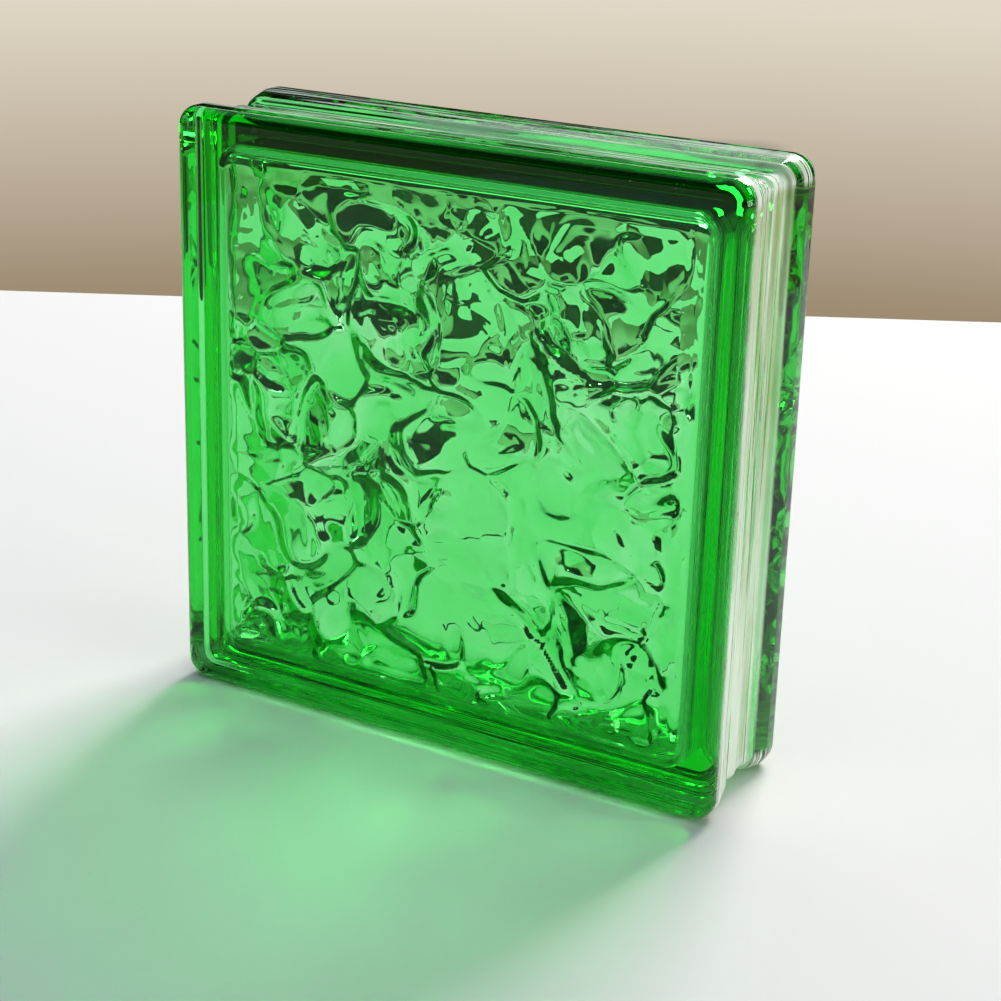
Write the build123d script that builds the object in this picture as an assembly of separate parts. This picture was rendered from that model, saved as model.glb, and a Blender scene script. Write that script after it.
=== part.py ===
from build123d import *
import math
import os

# A hollow pressed-glass building block, standing on its lower edge.
# Millimetres. X runs across the face, Y from the front face to the back one, Z up from the floor.

# Outer form
face_width = 190.0
face_height = 190.0
block_depth = 50.0
face_corner_radius = 7.0
rim_radius = 4.0

# Mortar channel that runs round all four edges, between the two flanges
channel_depth = 3.8
channel_wall_angle = 75.0
channel_root_radius = 1.0
channel_overshoot = 1.0

# Flanges: a flat land by the rim, then a side that falls back to the channel's edge
flange_depth = 15.5
flange_land = 4.0
flange_fall = 1.8
flange_inner_radius = 1.2

# Weld bead along the middle of the channel, where the two pressed halves are fused
bead_width = 3.2
bead_height = 0.7

# Sealed hollow
face_thickness = 8.0
side_thickness = 7.4
hollow_corner_radius = 8.0
hollow_rim_radius = 6.0
hollow_rim_overlap = 1.2

# Waves pressed into the hollow's front and back faces: length, direction in degrees and phase of each
wave_height = 0.16
waves = [(34.0, 12.0, 0.4), (29.0, 71.0, 2.1), (38.0, 128.0, 4.4), (31.0, 160.0, 1.2), (46.0, 98.0, 5.3)]
wave_border = 12.0
wave_point_spacing = 6.0
wave_block_depth = 6.0

# How near a point has to lie to a line to count as lying on it
on_line = 0.01

land_half_width = block_depth / 2 - rim_radius - flange_land
mouth_half_width = block_depth / 2 - flange_depth
wall_run = (channel_depth - flange_fall) / math.tan(math.radians(channel_wall_angle))
floor_half_width = mouth_half_width - wall_run


def rounded_plate(width, height, corner_radius, depth, edge_radius):
    """An upright plate with rounded corners and rims, centred on the block's middle."""
    outline = Plane.XZ * RectangleRounded(width, height, corner_radius)
    plate = extrude(outline, amount=depth / 2, both=True)
    faces = plate.faces().sort_by(Axis.Y)
    plate = fillet(faces[0].edges() + faces[-1].edges(), edge_radius)
    return Pos(0, 0, face_height / 2) * plate


def channel_section(plane):
    """The cut's section: the flanges' sides, the channel between them and the weld bead left standing."""
    fall_run = (land_half_width - mouth_half_width) * channel_overshoot / flange_fall
    outer = land_half_width + fall_run
    corners = [(-outer, -channel_overshoot), (outer, -channel_overshoot), (mouth_half_width, flange_fall)]
    corners.append((floor_half_width, channel_depth))
    corners.append((-floor_half_width, channel_depth))
    corners.append((-mouth_half_width, flange_fall))
    groove = make_face(Polyline(*corners, close=True))
    roots = groove.vertices().sort_by(Axis.Y)[-2:]
    groove = fillet(roots, channel_root_radius)
    edges = groove.vertices().filter_by(lambda vertex: abs(vertex.Y - flange_fall) < on_line)
    groove = fillet(edges, flange_inner_radius)
    bead_top = (0, channel_depth - bead_height)
    bead_arc = ThreePointArc((-bead_width / 2, channel_depth), bead_top, (bead_width / 2, channel_depth))
    bead_base = Line(bead_arc @ 1, bead_arc @ 0)
    return plane * (groove - make_face([bead_arc, bead_base]))


def mortar_channel():
    """The groove's solid, swept once round the block's outline."""
    outline = Plane.XZ * RectangleRounded(face_width, face_height, face_corner_radius)
    path = Pos(0, 0, face_height / 2) * outline.wire()
    start = Plane(origin=path @ 0, x_dir=(0, 1, 0), z_dir=path % 0)
    return sweep(channel_section(start), path=path)


def wave_depth(x, z, reach):
    """How far the waves go into the glass at a point: gentle, and none along the hollow's border."""
    margin = min(reach - abs(x), reach - abs(z)) / wave_border
    share = min(max(margin, 0.0), 1.0)
    share = share * share * (3 - 2 * share)
    total = 0.0
    for length, direction, phase in waves:
        across = x * math.cos(math.radians(direction)) + z * math.sin(math.radians(direction))
        total = total + math.sin(2 * math.pi * across / length + phase)
    return wave_height * share * total


def wavy_wall(side, half_depth, reach):
    """The glass in front of the hollow, or behind it: a slab whose inner face has the waves."""
    half_size = reach + hollow_rim_radius / 2
    count = round(2 * half_size / wave_point_spacing)
    steps = [half_size * (2 * index / count - 1) for index in range(count + 1)]
    rows = []
    for x in steps:
        depths = [side * (half_depth + wave_depth(side * x, z, reach)) for z in steps]
        rows.append([(x, depth, z + face_height / 2) for depth, z in zip(depths, steps)])
    face = Face.make_surface_from_array_of_points(rows)
    return extrude(face, amount=wave_block_depth, dir=(0, side, 0))


def sealed_hollow():
    """The space inside, closed on every side."""
    wall = channel_depth + side_thickness
    width = face_width - 2 * wall
    height = face_height - 2 * wall
    half_depth = block_depth / 2 - face_thickness
    depth = 2 * (half_depth + hollow_rim_overlap)
    hollow = rounded_plate(width, height, hollow_corner_radius, depth, hollow_rim_radius)
    for side in (-1, 1):
        hollow = hollow - wavy_wall(side, half_depth, width / 2)
    return hollow


def glass_block():
    """The whole block as one piece of glass."""
    block = rounded_plate(face_width, face_height, face_corner_radius, block_depth, rim_radius)
    return block - mortar_channel() - sealed_hollow()


os.makedirs("parts", exist_ok=True)
export_step(glass_block(), "parts/glass_block.step")
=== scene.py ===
"""Looks of a hollow green glass building block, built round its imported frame."""

import logging
import math
import random
from dataclasses import dataclass
from enum import Enum

import bmesh
import bpy
from mathutils import Matrix, Vector, noise


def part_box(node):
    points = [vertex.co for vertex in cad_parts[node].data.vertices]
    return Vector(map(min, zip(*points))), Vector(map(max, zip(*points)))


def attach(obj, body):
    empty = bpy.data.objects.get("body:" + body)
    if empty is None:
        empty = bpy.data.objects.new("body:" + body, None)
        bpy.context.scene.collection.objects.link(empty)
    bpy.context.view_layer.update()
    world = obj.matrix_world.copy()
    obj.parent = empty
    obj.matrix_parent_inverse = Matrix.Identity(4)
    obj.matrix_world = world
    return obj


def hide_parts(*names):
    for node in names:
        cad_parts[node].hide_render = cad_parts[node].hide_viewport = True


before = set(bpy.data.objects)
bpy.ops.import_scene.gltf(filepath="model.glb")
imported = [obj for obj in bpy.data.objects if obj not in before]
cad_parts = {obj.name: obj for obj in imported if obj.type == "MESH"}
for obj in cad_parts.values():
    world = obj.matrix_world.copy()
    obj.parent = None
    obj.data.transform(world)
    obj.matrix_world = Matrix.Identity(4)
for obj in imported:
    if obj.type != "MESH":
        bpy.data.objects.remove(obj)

LOG = logging.getLogger("glass_block")
NODE = "glass_block"
SLOT = "green_glass"
MM = 0.001
MERGE_DISTANCE = 0.01 * MM


class Stroke(Enum):
    """The moves that draw a section."""

    LINE = "line"
    ARC = "arc"
    TURN = "turn"


@dataclass(frozen=True)
class Move:
    """One move of the section's pen.

    Args:
        stroke: What kind of move it is.
        length: A line's length, or an arc's radius, in metres.
        angle: How far an arc or a turn goes round, in degrees. Positive turns from outward to rearward.
        steps: The number of edges that an arc is made of.
    """

    stroke: Stroke
    length: float = 0.0
    angle: float = 0.0
    steps: int = 1


def line(length: float) -> Move:
    """A straight run of the given length."""
    return Move(Stroke.LINE, length=length)


def arc(radius: float, angle: float, steps: int) -> Move:
    """A round stretch of the given radius and angle."""
    return Move(Stroke.ARC, length=radius, angle=angle, steps=steps)


def turn(angle: float) -> Move:
    """A sharp corner."""
    return Move(Stroke.TURN, angle=angle)


@dataclass
class SectionPen:
    """Draws a section as a chain of edges, in the plane across the block's right side.

    Args:
        mesh: The mesh that the chain is drawn in.
        place: Where the chain starts.
        heading: The pen's direction in degrees, from outward at 0 to rearward at 90.
    """

    mesh: bmesh.types.BMesh
    place: Vector
    heading: float = 0.0

    def direction(self, angle: float) -> Vector:
        """The unit vector at an angle from outward."""
        return Vector((math.cos(math.radians(angle)), math.sin(math.radians(angle)), 0.0))

    def draw(self, moves: list[Move]) -> None:
        """Runs the moves, one after the other.

        Args:
            moves: The section's moves, from the front face to the back one.
        """
        tip = self.mesh.verts.new(self.place)
        for move in moves:
            if move.stroke is Stroke.TURN:
                self.heading += move.angle
            elif move.stroke is Stroke.LINE:
                tip = self.run(tip, self.direction(self.heading) * move.length)
            else:
                tip = self.swing(tip, move)

    def run(self, tip: bmesh.types.BMVert, step: Vector) -> bmesh.types.BMVert:
        """Extrudes the chain's tip by one straight step.

        Args:
            tip: The chain's last point.
            step: The way to the next one.

        Returns:
            The new tip.
        """
        made = bmesh.ops.extrude_vert_indiv(self.mesh, verts=[tip])
        bmesh.ops.translate(self.mesh, verts=made["verts"], vec=step)
        return made["verts"][0]

    def swing(self, tip: bmesh.types.BMVert, move: Move) -> bmesh.types.BMVert:
        """Spins the chain's tip round an arc's centre.

        Args:
            tip: The chain's last point.
            move: The arc.

        Returns:
            The new tip.
        """
        side = math.copysign(90.0, move.angle)
        centre = tip.co + self.direction(self.heading + side) * move.length
        made = bmesh.ops.spin(
            self.mesh, geom=[tip], cent=centre, axis=(0.0, 0.0, 1.0),
            angle=math.radians(move.angle), steps=move.steps,
        )
        self.heading += move.angle
        return next(item for item in made["geom_last"] if isinstance(item, bmesh.types.BMVert))


@dataclass
class RoundedSweep:
    """A closed skin: one section taken round a rounded square, with a square of faces at each end.

    Args:
        half_width: Half the outline's width, in metres.
        half_height: Half the outline's height.
        corner: The outline's corner radius.
        half_depth: Half the distance between the front and back faces.
        cells: The number of faces along each side.
        corner_steps: The number of faces round each corner.
    """

    half_width: float
    half_height: float
    corner: float
    half_depth: float
    cells: int
    corner_steps: int

    def build(self, moves: list[Move]) -> bmesh.types.BMesh:
        """Sweeps the section and closes both ends.

        Args:
            moves: The section, from the front face to the back one, starting over the corner's centre.

        Returns:
            The closed skin, centred on the origin, with its faces pointing away from its inside.
        """
        skin = bmesh.new()
        reach = Vector((self.half_width - self.corner, 0.0, self.half_height - self.corner))
        SectionPen(skin, Vector((reach.x, -self.half_depth, -reach.z))).draw(moves)
        ring = skin.verts[:] + skin.edges[:]
        corners = [(reach.x, reach.z), (-reach.x, reach.z), (-reach.x, -reach.z), (reach.x, -reach.z)]
        for index, (x, z) in enumerate(corners):
            start_x, start_z = corners[index - 1]
            step = Vector((x - start_x, 0.0, z - start_z)) / self.cells
            ring = self.carry(skin, ring, step, self.cells)
            ring = self.wheel(skin, ring, Vector((x, 0.0, z)))
        for y in (-self.half_depth, self.half_depth):
            self.cap(skin, reach, y)
        bmesh.ops.remove_doubles(skin, verts=skin.verts, dist=MERGE_DISTANCE)
        bmesh.ops.recalc_face_normals(skin, faces=skin.faces)
        return skin

    def carry(self, skin: bmesh.types.BMesh, ring: list, step: Vector, steps: int) -> list:
        """Extrudes the section straight along a side and returns its last copy."""
        made = bmesh.ops.spin(
            skin, geom=ring, cent=(0.0, 0.0, 0.0), axis=(0.0, 1.0, 0.0), dvec=step, angle=0.0, steps=steps
        )
        return made["geom_last"]

    def wheel(self, skin: bmesh.types.BMesh, ring: list, centre: Vector) -> list:
        """Spins the section round a corner and returns its last copy."""
        made = bmesh.ops.spin(
            skin, geom=ring, cent=centre, axis=(0.0, 1.0, 0.0), angle=-math.pi / 2, steps=self.corner_steps
        )
        return made["geom_last"]

    def cap(self, skin: bmesh.types.BMesh, reach: Vector, y: float) -> None:
        """Lays a square grid of faces over one end.

        Args:
            skin: The skin that it closes.
            reach: Half the grid's width and height.
            y: The end's place from front to back.
        """
        upright = Matrix.Rotation(math.pi / 2, 4, "X")
        scale = Matrix.Diagonal((reach.x, 1.0, reach.z, 1.0))
        place = Matrix.Translation((0.0, y, 0.0)) @ scale @ upright
        bmesh.ops.create_grid(skin, x_segments=self.cells, y_segments=self.cells, size=1.0, matrix=place)


@dataclass(frozen=True)
class Wave:
    """One long wave across a face.

    Args:
        length: From crest to crest, in metres.
        direction: Where it runs, in degrees from the block's right.
        phase: Where it starts, in radians.
    """

    length: float
    direction: float
    phase: float

    def height(self, x: float, z: float) -> float:
        """The wave's height at one point, from -1 to 1."""
        across = x * math.cos(math.radians(self.direction)) + z * math.sin(math.radians(self.direction))
        return math.sin(2.0 * math.pi * across / self.length + self.phase)


LONG_WAVES = (
    Wave(34.0 * MM, 12.0, 0.4),
    Wave(29.0 * MM, 71.0, 2.1),
    Wave(38.0 * MM, 128.0, 4.4),
    Wave(31.0 * MM, 160.0, 1.2),
    Wave(46.0 * MM, 98.0, 5.3),
)


@dataclass(frozen=True)
class Drift:
    """A smooth random value that drifts over a face.

    Args:
        pace: How fast it changes, per cell.
        start: Where in the endless noise it is read.
    """

    pace: float
    start: tuple

    def at(self, point: Vector) -> float:
        """The value at a point, above or below 0."""
        return noise.noise(point * self.pace + Vector(self.start))


@dataclass(frozen=True)
class Relief:
    """The hammered facets and long waves that are pressed into the hollow's front and back faces.

    Args:
        swell: The height of each long wave, in metres.
        step: How far the facets' heights differ.
        tilt: How steeply a facet leans, as rise over run.
        dome: How far a facet's middle bulges.
        cell: The size of one facet.
        border: The width of the border where the long waves die out.
        fade: The width of the border where the facets die out.
        seed: Which part of the endless pattern is used.
        warp: How far the facets are bent out of shape, in cells.
        bends: What bends them, along each axis.
        softness: How round the creases between facets are.
        level: At which squared distance from its middle a facet's bulge is 0, in cells.
        draw_pace: How far apart the facets' random draws lie.
        fine: The share of the smaller facets.
        fine_ratio: How many times smaller they are.
        fine_start: Where in the endless pattern they are read.
        patches: Where they are strong and where weak.
        strengths: The same for all facets.
        weakest: The least share of their height that all facets keep.
        strength_range: How much of it comes on top where they are strong.
        strength_contrast: How clearly strong and weak areas differ.
        calm: The middle of the area where the glass is flattest, from the block's middle.
        calm_reach: How far that area goes.
        calm_share: How much of the facets' height is lost there.
        top_start: How high above the block's middle the upper facets start to get lower.
        top_reach: Over what height they do.
        top_share: How much of their height is lost at the top.
    """

    swell: float = 0.16 * MM
    step: float = 2.6 * MM
    tilt: float = 0.27
    dome: float = 1.0 * MM
    cell: float = 17.0 * MM
    border: float = 12.0 * MM
    fade: float = 2.0 * MM
    seed: float = 3.7
    warp: float = 0.6
    bends: tuple = (Drift(0.9, (0.0, 0.0, 2.9)), Drift(0.9, (0.0, 7.3, 2.9)), Drift(0.9, (0.0, 14.6, 2.9)))
    softness: float = 0.055
    level: float = 0.3
    draw_pace: float = 9.7
    fine: float = 0.6
    fine_ratio: float = 2.1
    fine_start: tuple = (5.1, 2.7, 9.4)
    patches: Drift = Drift(0.6, (1.3, 8.8, 4.1))
    strengths: Drift = Drift(0.45, (6.6, 0.4, 7.7))
    weakest: float = 0.55
    strength_range: float = 0.9
    strength_contrast: float = 1.6
    calm: Vector = Vector((0.026, 0.0, -0.018))
    calm_reach: float = 52.0 * MM
    calm_share: float = 0.5
    top_start: float = 20.0 * MM
    top_reach: float = 45.0 * MM
    top_share: float = 0.42

    def depth(self, side: float, x: float, z: float, margin: float) -> float:
        """How deep the relief goes into the glass at one point.

        Args:
            side: -1 on the front face, where the pattern is mirrored, and 1 on the back one.
            x: The distance from the block's middle, across.
            z: The same, upwards.
            margin: The distance from the hollow's border.

        Returns:
            The depth in metres, above or below 0.
        """
        away = (Vector((x, 0.0, z)) - self.calm).length / self.calm_reach
        calm = 1.0 - self.calm_share * (1.0 - self.ease(away))
        x *= side
        point = Vector((x / self.cell, self.seed, z / self.cell))
        bent = point + self.warp * Vector(bend.at(point) for bend in self.bends)
        broad = self.facets(bent, self.cell)
        small = self.facets(bent * self.fine_ratio + Vector(self.fine_start), self.cell / self.fine_ratio)
        patch = 0.5 + 0.5 * self.patches.at(point)
        strength = self.ease(0.5 + self.strength_contrast * self.strengths.at(point))
        strength = self.weakest + self.strength_range * strength
        strength *= 1.0 - self.top_share * self.ease((z - self.top_start) / self.top_reach)
        waves = self.swell * sum(wave.height(x, z) for wave in LONG_WAVES)
        facets = calm * strength * (broad + self.fine * patch * small)
        return self.ease(margin / self.border) * waves + self.ease(margin / self.fade) * facets

    def ease(self, share: float) -> float:
        """A smooth step from 0 to 1."""
        share = min(max(share, 0.0), 1.0)
        return share * share * (3.0 - 2.0 * share)

    def facets(self, point: Vector, cell: float) -> float:
        """One layer of leaning facets, blended over their creases.

        Args:
            point: The place in cells.
            cell: The size of a cell in metres.

        Returns:
            The layer's depth in metres, above or below 0.
        """
        distances, centres = noise.voronoi(point)
        nearest = distances[0] ** 2
        total = share = 0.0
        for distance, centre in zip(distances, centres):
            weight = math.exp((nearest - distance**2) / self.softness)
            draw = noise.cell_vector(centre * self.draw_pace)
            away = point - centre
            lean = self.tilt * cell * ((draw.x - 0.5) * away.x + (draw.z - 0.5) * away.z) * 2.0
            bulge = self.dome * (distance**2 - self.level)
            total += weight * (self.step * cell / self.cell * (draw.y - 0.5) + lean + bulge)
            share += weight
        return total / share


@dataclass
class OuterSkin:
    """The block's outside: two faces, two flanges and the mortar channel between them.

    Args:
        corner: The faces' corner radius, in metres.
        rim: The radius of the rim round a face.
        channel_depth: How deep the channel's floor lies below the flanges.
        wall_angle: How steep the channel's walls are, in degrees.
        root: The radius at the foot of a wall.
        flange_depth: A flange's width, from its face to the channel.
        land: The width of its flat land.
        fall: How far its side falls from the land to the channel's edge.
        land_bend: The radius between the land and that side.
        inner_edge: The radius of the channel's edge.
        bead_width: The weld bead's width.
        bead_height: Its height.
    """

    corner: float = 7.0 * MM
    rim: float = 4.0 * MM
    channel_depth: float = 3.8 * MM
    wall_angle: float = 75.0
    root: float = 1.0 * MM
    flange_depth: float = 15.5 * MM
    land: float = 4.0 * MM
    fall: float = 1.8 * MM
    land_bend: float = 3.0 * MM
    inner_edge: float = 1.2 * MM
    bead_width: float = 3.2 * MM
    bead_height: float = 0.7 * MM

    def half_section(self, half_depth: float) -> list[Move]:
        """Lays out the section from the front face to the foot of the weld bead.

        Args:
            half_depth: Half the block's depth.

        Returns:
            The moves that draw it.
        """
        side = self.flange_depth - self.rim - self.land
        slope = math.degrees(math.atan2(self.fall, side))
        drop = self.channel_depth - self.fall
        wall = drop / math.sin(math.radians(self.wall_angle))
        run = drop / math.tan(math.radians(self.wall_angle))
        start = self.land_bend * self.tangent(slope)
        edge = self.inner_edge * self.tangent(self.wall_angle - slope)
        foot = self.root * self.tangent(self.wall_angle)
        return [
            line(self.corner - self.rim),
            arc(self.rim, 90.0, 10),
            line(self.land - start),
            arc(self.land_bend, slope, 3),
            line(math.hypot(self.fall, side) - start - edge),
            arc(self.inner_edge, self.wall_angle - slope, 6),
            line(wall - edge - foot),
            arc(self.root, -self.wall_angle, 6),
            line(half_depth - self.flange_depth - run - foot - self.bead_width / 2),
        ]

    def tangent(self, angle: float) -> float:
        """How far before a corner a rounding of radius 1 starts, for a corner of this angle."""
        return math.tan(math.radians(angle) / 2)

    def bead(self) -> list[Move]:
        """Lays out the weld bead's low round back.

        Returns:
            The moves that draw it.
        """
        radius = (self.bead_width**2 / 4 + self.bead_height**2) / (2 * self.bead_height)
        rise = math.degrees(math.asin(self.bead_width / 2 / radius))
        return [turn(-rise), arc(radius, 2 * rise, 8), turn(-rise)]

    def build(self, size: Vector) -> bmesh.types.BMesh:
        """Sweeps the outside.

        Args:
            size: The block's width, depth and height.

        Returns:
            The closed outer skin, centred on the origin.
        """
        half = self.half_section(size.y / 2)
        sweep = RoundedSweep(size.x / 2, size.z / 2, self.corner, size.y / 2, cells=1, corner_steps=10)
        return sweep.build(half + self.bead() + half[::-1])


@dataclass
class Hollow:
    """The sealed space inside, with waves on its front and back faces.

    Args:
        face_thickness: How thick the glass is at the faces, in metres.
        side_thickness: How far the hollow lies inside the flanges' lands.
        corner: Its corner radius.
        rim: The radius of the rim round its faces.
        cells: The number of mesh faces along each of its sides.
        relief: What is pressed into its front and back faces.
    """

    face_thickness: float = 8.0 * MM
    side_thickness: float = 11.2 * MM
    corner: float = 8.0 * MM
    rim: float = 6.0 * MM
    cells: int = 190
    relief: Relief = Relief()

    def build(self, size: Vector) -> bmesh.types.BMesh:
        """Sweeps the hollow and presses its waves.

        Args:
            size: The block's width, depth and height.

        Returns:
            The hollow's skin, centred on the origin, with its faces pointing into the hollow.
        """
        half_width = size.x / 2 - self.side_thickness
        half_height = size.z / 2 - self.side_thickness
        half_depth = size.y / 2 - self.face_thickness
        half = [line(self.corner - self.rim), arc(self.rim, 90.0, 8), line(half_depth - self.rim)]
        sweep = RoundedSweep(half_width, half_height, self.corner, half_depth, self.cells, corner_steps=8)
        skin = sweep.build(half + half[::-1])
        flat = Vector((half_width - self.rim, 0.0, half_height - self.rim))
        for vert in skin.verts:
            if abs(abs(vert.co.y) - half_depth) < MERGE_DISTANCE:
                self.press(vert, flat)
        bmesh.ops.reverse_faces(skin, faces=skin.faces)
        return skin

    def press(self, vert: bmesh.types.BMVert, flat: Vector) -> None:
        """Moves one point of a face into the glass by the relief's depth there.

        Args:
            vert: The point.
            flat: Half the width and height of the face's flat part.
        """
        margin = min(flat.x - abs(vert.co.x), flat.z - abs(vert.co.z))
        side = math.copysign(1.0, vert.co.y)
        vert.co.y += side * self.relief.depth(side, vert.co.x, vert.co.z, margin)


class Signal:
    """A value socket that takes part in Python arithmetic and adds its own Math nodes."""

    def __init__(self, graph: "FinishGraph", socket: bpy.types.NodeSocket) -> None:
        """Wraps one output socket of a graph."""
        self.graph = graph
        self.socket = socket

    def math(self, operation: str, *values: "Signal | float") -> "Signal":
        """Adds one Math node on this signal and the given values."""
        node = self.graph.node("ShaderNodeMath", {"operation": operation}, {0: self, **dict(enumerate(values, 1))})
        return Signal(self.graph, node.outputs[0])

    def __add__(self, other: "Signal | float") -> "Signal":
        """The sum."""
        return self.math("ADD", other)

    __radd__ = __add__

    def __mul__(self, other: "Signal | float") -> "Signal":
        """The product."""
        return self.math("MULTIPLY", other)

    __rmul__ = __mul__

    def __sub__(self, other: "Signal | float") -> "Signal":
        """The difference."""
        return self.math("SUBTRACT", other)

    def __rsub__(self, other: float) -> "Signal":
        """The difference, with the number first."""
        return self * -1.0 + other

    def clipped(self) -> "Signal":
        """The value, held between 0 and 1."""
        return self.math("MAXIMUM", 0.0).math("MINIMUM", 1.0)

    def unsigned(self) -> "Signal":
        """The value without its sign."""
        return self.math("ABSOLUTE")


class FinishGraph:
    """The node tree of a material or a world, filled by one method."""

    def __init__(self, owner: bpy.types.Material | bpy.types.World) -> None:
        """Empties the owner's tree and starts on it."""
        self.owner = owner
        owner.use_nodes = True
        self.tree = owner.node_tree
        self.tree.nodes.clear()

    def axes(self, source: bpy.types.NodeSocket) -> list[Signal]:
        """Splits a vector into its X, Y and Z."""
        parts = self.node("ShaderNodeSeparateXYZ", None, {0: source})
        return [Signal(self, socket) for socket in parts.outputs]

    def node(self, kind: str, settings: dict | None = None, sockets: dict | None = None) -> bpy.types.Node:
        """Adds a node.

        Args:
            kind: The node's type.
            settings: Its own properties, which are set first.
            sockets: Values or links for its inputs, by name or number.

        Returns:
            The new node.
        """
        made = self.tree.nodes.new(kind)
        for name, value in (settings or {}).items():
            setattr(made, name, value)
        for name, value in (sockets or {}).items():
            if isinstance(value, Signal):
                value = value.socket
            if isinstance(value, bpy.types.NodeSocket):
                self.tree.links.new(value, made.inputs[name])
            else:
                made.inputs[name].default_value = value
        return made


@dataclass(frozen=True)
class Coverage:
    """How much of a place the film's streaks cover.

    Args:
        gain: How sharp the streaks are.
        loss: How much of them is left bare.
    """

    gain: float
    loss: float

    def of(self, streaks: Signal) -> Signal:
        """The covered share, from 0 to 1."""
        return (streaks * self.gain - self.loss).clipped()


@dataclass(frozen=True)
class DriedFilmAndPaintedLight:
    """A pale film, dried in streaks on the right side and on the upper and lower beds, with painted light mixed in:
    partly painted reflection on the beds, and on the hollow's right inner wall streaks that are painted light only.

    Args:
        pale: The film's colour where it is thick, and where the beds are painted lighter.
        dark: Its colour where it is thin, where the inner wall is painted darker, and towards the top.
        roughness: How matt it is.
        glow: The share of it that lets light through.
        middle: The height of the block's middle, in metres.
        reach: How far from the middle the film on the right side and the beds starts.
        side: Where the film on the right side starts and ends, from front to back.
        wall: Where the painted light on the inner wall starts and ends, from left to right.
        wall_half: Half the width of the painted light on the inner wall.
        bed: Where the film on the beds starts and ends, from front to back.
        edge: How sharp the borders of these places are, per metre.
        streaks: The streaks' stretch along X, Y and Z.
        drips: The same of the drips.
        side_cover: How much of the right side the film covers.
        wall_cover: How much of the inner wall the painted light covers.
        bed_cover: How much of the beds.
        top_loss: How much less of the upper bed.
        drip_gain: How strongly the drips change the film's tone.
        drip_loss: How much thinner it is between them.
        high_start: The height from which the film gets darker upwards, in metres.
        high_slope: How fast it does, per metre.
        high_loss: How much darker it gets.
        wall_loss: How much darker the painted light on the inner wall is, as painted shade.
        bed_gain: How much lighter the film is on the beds, as painted highlight.
    """

    pale: tuple = (0.93, 0.97, 0.90, 1.0)
    dark: tuple = (0.40, 0.43, 0.20, 1.0)
    roughness: float = 0.35
    glow: float = 0.3
    middle: float = 95.0 * MM
    reach: float = 86.0 * MM
    side: tuple = (-21.0 * MM, 11.2 * MM)
    wall: tuple = (81.0 * MM, 85.5 * MM)
    wall_half: float = 15.5 * MM
    bed: tuple = (-20.0 * MM, 23.5 * MM)
    edge: float = 400.0
    streaks: tuple = (14.0, 800.0, 14.0)
    drips: tuple = (30.0, 330.0, 17.0)
    side_cover: Coverage = Coverage(8.0, 2.8)
    wall_cover: Coverage = Coverage(9.0, 3.6)
    bed_cover: Coverage = Coverage(9.0, 4.0)
    top_loss: float = 0.4
    drip_gain: float = 2.6
    drip_loss: float = 0.35
    high_start: float = 60.0 * MM
    high_slope: float = 9.0
    high_loss: float = 0.62
    wall_loss: float = 0.6
    bed_gain: float = 0.8

    def shader(self, graph: FinishGraph) -> tuple[Signal, bpy.types.NodeSocket]:
        """Adds the film and its painted light.

        Args:
            graph: The material's graph.

        Returns:
            The share of the surface that the film covers, and the film's own shader.
        """
        place = graph.node("ShaderNodeTexCoord").outputs["Object"]
        sideways, across, upwards = graph.axes(place)
        streaks = self.stripes(graph, place, self.streaks)
        drips = self.stripes(graph, place, self.drips)
        sides = self.past(sideways, self.reach)
        beds = self.past((upwards - self.middle).unsigned(), self.reach)
        wall = self.past(sideways, self.wall[0]) * self.before(sideways, self.wall[1])
        zone = self.past(across, self.side[0]) * self.before(across, self.side[1])
        wall_zone = wall * self.before(across.unsigned(), self.wall_half)
        bed_zone = beds * self.past(across, self.bed[0]) * self.before(across, self.bed[1])
        bare = self.past(upwards, self.middle) * self.top_loss
        side_film = sides * zone * self.side_cover.of(streaks)
        # Painted light: pale streaks on the hollow's right inner wall stand in for light coming in through the thin
        # side wall. They are not a film.
        painted_wall_light = wall_zone * self.wall_cover.of(streaks)
        # On the beds the pale streaks are partly a dried film and partly painted reflection of the sky.
        bed_film_and_painted_sheen = bed_zone * (streaks * self.bed_cover.gain - self.bed_cover.loss - bare).clipped()
        share = side_film.math("MAXIMUM", bed_film_and_painted_sheen).math("MAXIMUM", painted_wall_light)
        # The film's tone gets darker towards the top.
        high = ((upwards - self.high_start) * self.high_slope).clipped() * self.high_loss
        drip = drips * self.drip_gain - self.drip_loss
        # Tone: painted shade on the inner wall, painted highlight on the beds, and darker towards the top.
        tone = (drip - high - wall * self.wall_loss + beds * self.bed_gain).clipped()
        color = graph.node("ShaderNodeMix", {"data_type": "RGBA"}, {0: tone, 6: self.dark, 7: self.pale})
        matt = graph.node("ShaderNodeBsdfPrincipled", None, {
            "Base Color": color.outputs[2], "Roughness": self.roughness,
        })
        glow = graph.node("ShaderNodeBsdfTranslucent", None, {"Color": self.pale})
        film = graph.node("ShaderNodeMixShader", None, {0: self.glow, 1: matt.outputs[0], 2: glow.outputs[0]})
        return share, film.outputs[0]

    def past(self, value: Signal, limit: float) -> Signal:
        """1 where the value is past the limit, with a narrow soft border."""
        return ((value - limit) * self.edge).clipped()

    def before(self, value: Signal, limit: float) -> Signal:
        """1 where the value is below the limit, with a narrow soft border."""
        return ((limit - value) * self.edge).clipped()

    def stripes(self, graph: FinishGraph, place: bpy.types.NodeSocket, scale: tuple) -> Signal:
        """Adds fine stripes.

        Args:
            graph: The material's graph.
            place: The point on the block.
            scale: The stripes' stretch along X, Y and Z.

        Returns:
            Their value, from 0 to 1.
        """
        along = graph.node("ShaderNodeMapping", None, {"Vector": place, "Scale": scale})
        stripes = graph.node("ShaderNodeTexNoise", None, {
            "Vector": along.outputs[0], "Scale": 1.0, "Detail": 3.0, "Roughness": 0.6,
        })
        return Signal(graph, stripes.outputs["Fac"])


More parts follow.
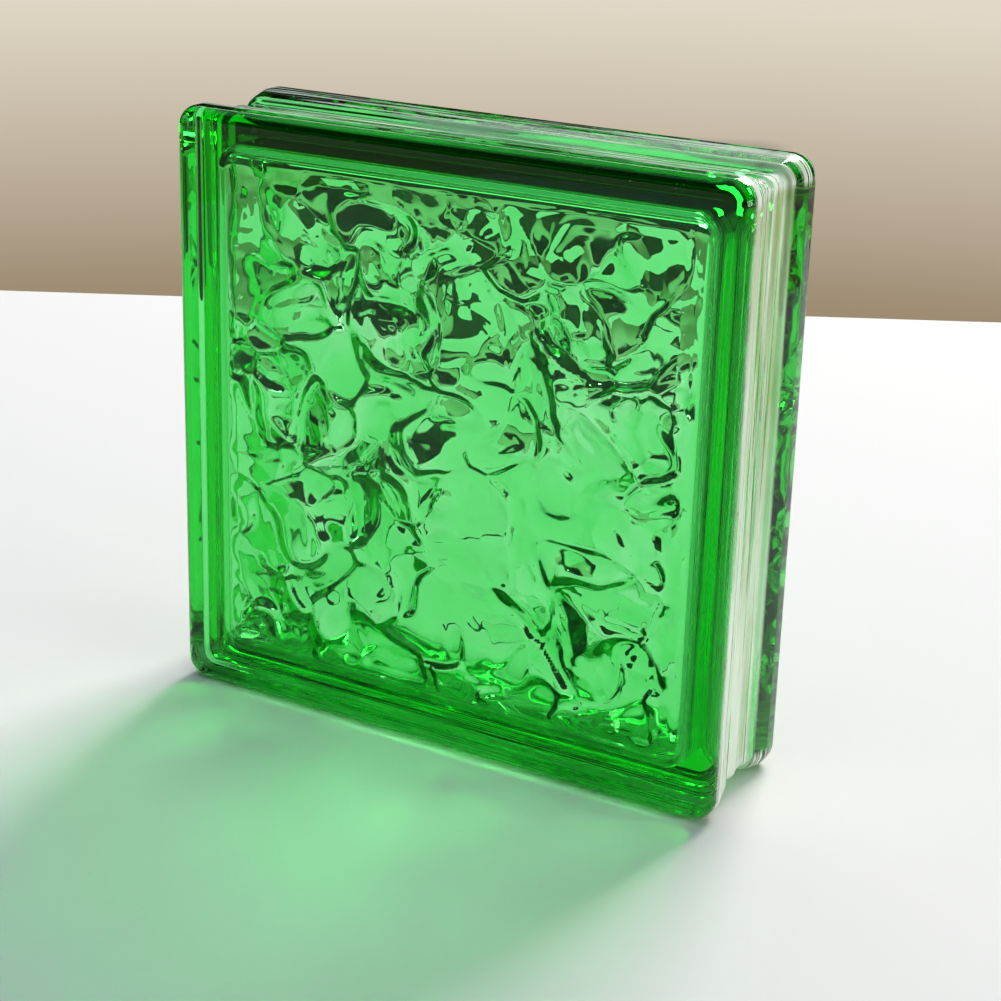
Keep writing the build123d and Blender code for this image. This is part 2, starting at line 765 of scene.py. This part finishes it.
@dataclass(frozen=True)
class GreenGlass:
    """Polished glass, tinted green right through, with a dried film on parts of its outside, partly painted
    reflection on its beds, and painted light on its right inner wall.

    Args:
        ior: The glass's index of refraction.
        tint: The colour that the glass lets through best.
        density: How strongly it takes the other colours out, per metre.
        gleam: The strength and colour of what it mirrors where it is looked at squarely.
        film: The dried film, with the painted light mixed into it.
    """

    ior: float = 1.52
    tint: tuple = (0.16, 0.91, 0.34, 1.0)
    density: float = 138.0
    gleam: tuple = (0.35, 0.55, 0.42, 1.0)
    film: DriedFilmAndPaintedLight = DriedFilmAndPaintedLight()

    def material(self) -> bpy.types.Material:
        """Builds the finish.

        Returns:
            The glass's material.
        """
        graph = FinishGraph(bpy.data.materials.new(SLOT))
        glass = graph.node("ShaderNodeBsdfPrincipled", None, {
            "Base Color": (1.0, 1.0, 1.0, 1.0), "Roughness": 0.0, "IOR": self.ior, "Transmission Weight": 1.0,
            "Specular Tint": self.gleam,
        })
        share, film = self.film.shader(graph)
        surface = graph.node("ShaderNodeMixShader", None, {0: share, 1: glass.outputs[0], 2: film})
        inside = graph.node("ShaderNodeVolumeAbsorption", None, {"Color": self.tint, "Density": self.density})
        graph.node("ShaderNodeOutputMaterial", None, {"Surface": surface.outputs[0], "Volume": inside.outputs[0]})
        return graph.owner


@dataclass
class Bubbles:
    """The few tiny bubbles that are left in the glass of the side walls.

    Args:
        count: How many there are.
        smallest: The smallest radius, in metres.
        largest: The largest one.
        skin: How far from the hollow they keep.
        spread: How thick the layer is that they lie in.
        along: How much of a wall's length they take up.
        across: How far from the block's middle they reach, as a share of its depth.
        upright_share: The share of them that lies in the left and right walls.
        seed: What draws their places.
    """

    count: int = 110
    smallest: float = 0.12 * MM
    largest: float = 0.42 * MM
    skin: float = 1.2 * MM
    spread: float = 3.6 * MM
    along: float = 0.9
    across: float = 0.42
    upright_share: float = 0.4
    seed: int = 11

    def build(self, size: Vector, hollow: Hollow) -> bmesh.types.BMesh:
        """Scatters the bubbles.

        Args:
            size: The block's width, depth and height.
            hollow: The sealed space, which the bubbles keep out of.

        Returns:
            Small balls with their faces pointing into them, round the origin.
        """
        balls = bmesh.new()
        draw = random.Random(self.seed)
        for _ in range(self.count):
            reach = size.x / 2 - hollow.side_thickness + self.skin + draw.random() * self.spread
            slide = draw.uniform(-self.along, self.along) * size.x / 2
            across = draw.uniform(-self.across, self.across) * size.y
            place = Vector((slide, across, reach * draw.choice((-1, 1))))
            if draw.random() < self.upright_share:
                place = place.zyx
            radius = self.smallest + (self.largest - self.smallest) * draw.random() ** 3
            bmesh.ops.create_icosphere(balls, subdivisions=2, radius=radius, matrix=Matrix.Translation(place))
        bmesh.ops.reverse_faces(balls, faces=balls.faces)
        return balls


@dataclass
class GlassBlock:
    """The whole block as one mesh of one glass.

    Args:
        outer: Its outside.
        hollow: The sealed space in it.
        bubbles: The bubbles in its side walls.
        glass: Its finish.
    """

    outer: OuterSkin
    hollow: Hollow
    bubbles: Bubbles
    glass: GreenGlass

    def build(self) -> bpy.types.Object:
        """Builds the block inside the frame's box and puts it in its node's place.

        Returns:
            The finished piece.
        """
        low, high = (Vector(corner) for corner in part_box(NODE))
        size = high - low
        mesh = bpy.data.meshes.new("rippled_glass_block")
        whole = bmesh.new()
        for skin in (self.outer.build(size), self.hollow.build(size), self.bubbles.build(size, self.hollow)):
            skin.to_mesh(mesh)
            skin.free()
            whole.from_mesh(mesh)
        bmesh.ops.translate(whole, verts=whole.verts, vec=(low + high) / 2)
        for face in whole.faces:
            face.smooth = True
        whole.to_mesh(mesh)
        whole.free()
        block = bpy.data.objects.new("rippled_glass_block", mesh)
        bpy.context.scene.collection.objects.link(block)
        block.data.materials.append(self.glass.material())
        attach(block, "root")
        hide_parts(NODE)
        return block


@dataclass(frozen=True)
class SkyBand:
    """One height in the world's light.

    Args:
        place: The height, from straight down at 0 to straight up at 1.
        color: The light's colour there.
    """

    place: float
    color: tuple


@dataclass(frozen=True)
class DarkGround:
    """The dark patch of ground far behind the block, which its upper part shows.

    Args:
        color: Its colour.
        turn: Its direction in degrees, round from straight behind the block.
        half: Half its width, as the sine of an angle.
        top: Its upper edge, as a height in the world's light.
        side_edge: How sharp its left and right edges are.
        top_edge: How sharp its upper edge is.
        back_edge: How sharply it ends towards the front half of the world.
    """

    color: tuple = (0.028, 0.026, 0.004, 1.0)
    turn: float = 29.8
    half: float = 0.143
    top: float = 0.409
    side_edge: float = 60.0
    top_edge: float = 180.0
    back_edge: float = 9.0

    def share(self, graph: FinishGraph, direction: bpy.types.NodeSocket, height: Signal) -> Signal:
        """How much of it lies in a direction.

        Args:
            graph: The world's graph.
            direction: The direction looked in.
            height: The height in the world's light.

        Returns:
            The share, from 0 to 1.
        """
        along, away, _ = graph.axes(direction)
        turn = math.radians(self.turn)
        sideways = along * math.cos(turn) + away * math.sin(turn)
        forwards = away * math.cos(turn) - along * math.sin(turn)
        inside = ((self.half - sideways.unsigned()) * self.side_edge).clipped()
        below = ((self.top - height) * self.top_edge).clipped()
        return inside * below * (forwards * self.back_edge).clipped()


@dataclass(frozen=True)
class Lamp:
    """One soft rectangular lamp that faces the block.

    Args:
        name: What it is called.
        place: Where it hangs, in metres.
        size: Its width and height.
        power: Its power in watts.
        color: Its light's colour.
    """

    name: str
    place: tuple
    size: tuple
    power: float
    color: tuple

    def hang(self, target: Vector) -> None:
        """Hangs the lamp.

        Args:
            target: The point that it faces.
        """
        data = bpy.data.lights.new(self.name, "AREA")
        data.shape = "RECTANGLE"
        data.size, data.size_y = self.size
        data.energy = self.power
        data.color = self.color
        lamp = bpy.data.objects.new(self.name, data)
        bpy.context.scene.collection.objects.link(lamp)
        lamp.location = self.place
        lamp.rotation_euler = (target - Vector(self.place)).to_track_quat("-Z", "Y").to_euler()


@dataclass
class Studio:
    """The pale floor, the world round it and the soft lamps.

    Args:
        floor_color: The floor's colour.
        floor_roughness: How matt it is.
        floor_turn: How far it is turned, in degrees.
        floor_back: How far behind the block its back edge lies, in metres.
        floor_half: Half its side.
        floor_gap: How far below the block it lies.
        bands: The world's light, from straight down to straight up.
        ground: The dark ground behind the block.
        target: What the lamps face.
        lamps: The lamps.
    """

    floor_color: tuple = (0.9, 0.87, 0.86, 1.0)
    floor_roughness: float = 0.9
    floor_turn: float = 28.5
    floor_back: float = 0.498
    floor_half: float = 0.75
    floor_gap: float = 0.2 * MM
    bands: tuple = (
        SkyBand(0.372, (0.34, 0.26, 0.17, 1.0)),
        SkyBand(0.44, (0.76, 0.69, 0.57, 1.0)),
        SkyBand(0.456, (0.76, 0.69, 0.57, 1.0)),
        SkyBand(0.466, (0.01, 0.02, 0.005, 1.0)),
        SkyBand(0.84, (0.01, 0.02, 0.005, 1.0)),
        SkyBand(0.88, (0.42, 0.52, 0.60, 1.0)),
        SkyBand(1.00, (0.46, 0.56, 0.64, 1.0)),
    )
    ground: DarkGround = DarkGround()
    target: tuple = (0.0, 0.0, 0.08)
    lamps: tuple = (
        Lamp("key", (0.0, 3.70, 2.90), (2.0, 2.0), 226.0, (1.0, 0.97, 0.94)),
        Lamp("right", (3.00, 0.20, 0.28), (2.4, 0.9), 66.0, (1.0, 0.97, 0.94)),
        Lamp("gleam", (-1.24, 2.14, 2.47), (2.6, 0.9), 15.0, (0.94, 1.0, 1.0)),
    )

    def paint(self) -> bpy.types.Material:
        """Builds the floor's plain matt paint.

        Returns:
            The floor's material.
        """
        graph = FinishGraph(bpy.data.materials.new("floor"))
        shader = graph.node("ShaderNodeBsdfPrincipled", None, {
            "Base Color": self.floor_color, "Roughness": self.floor_roughness, "Specular IOR Level": 0.0,
        })
        graph.node("ShaderNodeOutputMaterial", None, {"Surface": shader.outputs[0]})
        return graph.owner

    def build(self) -> None:
        """Builds the stage and lights it."""
        self.lay_floor()
        for lamp in self.lamps:
            lamp.hang(Vector(self.target))
        self.light_world()

    def lay_floor(self) -> None:
        """Lays the floor, whose back edge lies behind the block."""
        sheet = bmesh.new()
        middle = Vector((0.0, self.floor_back - self.floor_half, -self.floor_gap))
        place = Matrix.Rotation(math.radians(self.floor_turn), 4, "Z") @ Matrix.Translation(middle)
        bmesh.ops.create_grid(sheet, x_segments=1, y_segments=1, size=self.floor_half, matrix=place)
        mesh = bpy.data.meshes.new("floor")
        sheet.to_mesh(mesh)
        sheet.free()
        floor = bpy.data.objects.new("floor", mesh)
        bpy.context.scene.collection.objects.link(floor)
        mesh.materials.append(self.paint())

    def light_world(self) -> None:
        """Gives the world its bands of light, from the ground to the sky, and the dark ground."""
        world = bpy.data.worlds.new("studio")
        bpy.context.scene.world = world
        graph = FinishGraph(world)
        direction = graph.node("ShaderNodeTexCoord").outputs["Generated"]
        height = graph.axes(direction)[2] * 0.5 + 0.5
        ramp = graph.node("ShaderNodeValToRGB", None, {0: height})
        stops = ramp.color_ramp.elements
        for band in self.bands[len(stops):]:
            stops.new(band.place)
        for stop, band in zip(stops, self.bands):
            stop.position = band.place
            stop.color = band.color
        shade = graph.node("ShaderNodeMix", {"data_type": "RGBA"}, {
            0: self.ground.share(graph, direction, height), 6: ramp.outputs[0], 7: self.ground.color,
        })
        light = graph.node("ShaderNodeBackground", None, {"Color": shade.outputs[2]})
        graph.node("ShaderNodeOutputWorld", None, {"Surface": light.outputs[0]})


@dataclass(frozen=True)
class PhotoCamera:
    """The camera, standing where the photographer stood.

    Args:
        place: Its place, in metres.
        azimuth: Its direction from the block, in degrees round from the front to the right.
        elevation: How far it looks down, in degrees.
        roll: How far it is turned about its own view.
        focal_pixels: Its focal length, in pixels of the frame.
        frame_pixels: The frame's width.
        sensor: The sensor's width, in millimetres.
        near: The nearest distance that it sees.
        shift: How far the frame is moved sideways and up, as a share of its width.
    """

    place: tuple = (0.30272, -0.52478, 0.30167)
    azimuth: float = 29.897
    elevation: float = 18.419
    roll: float = 1.470
    focal_pixels: float = 2089.6
    frame_pixels: float = 1001.0
    sensor: float = 36.0
    near: float = 0.01
    shift: tuple = (0.0205, -0.0804)

    def build(self) -> None:
        """Makes the camera the scene's own."""
        data = bpy.data.cameras.new("photo_camera")
        data.sensor_width = self.sensor
        data.lens = self.sensor * self.focal_pixels / self.frame_pixels
        data.shift_x, data.shift_y = self.shift
        data.clip_start = self.near
        camera = bpy.data.objects.new("photo_camera", data)
        bpy.context.scene.collection.objects.link(camera)
        azimuth, elevation = math.radians(self.azimuth), math.radians(self.elevation)
        back = Vector((
            math.sin(azimuth) * math.cos(elevation), -math.cos(azimuth) * math.cos(elevation), math.sin(elevation)
        ))
        aim = (-back).to_track_quat("-Z", "Y").to_matrix().to_4x4()
        camera.matrix_world = Matrix.Translation(self.place) @ aim @ Matrix.Rotation(math.radians(self.roll), 4, "Z")
        bpy.context.scene.camera = camera


def main() -> None:
    """Builds the block, its stage and its camera, and logs the block's face count."""
    logging.basicConfig(level=logging.INFO, format="%(name)s: %(message)s")
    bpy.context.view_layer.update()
    scene = bpy.context.scene
    scene.view_settings.view_transform = "Standard"
    scene.cycles.max_bounces = 13
    scene.cycles.transmission_bounces = 13
    scene.cycles.glossy_bounces = 6
    scene.cycles.blur_glossy = 0.0
    scene.cycles.use_denoising = True
    block = GlassBlock(OuterSkin(), Hollow(), Bubbles(), GreenGlass()).build()
    LOG.info("%s: %d faces", block.name, len(block.data.polygons))
    Studio().build()
    PhotoCamera().build()
    bpy.context.view_layer.update()


if __name__ == "__main__":
    main()
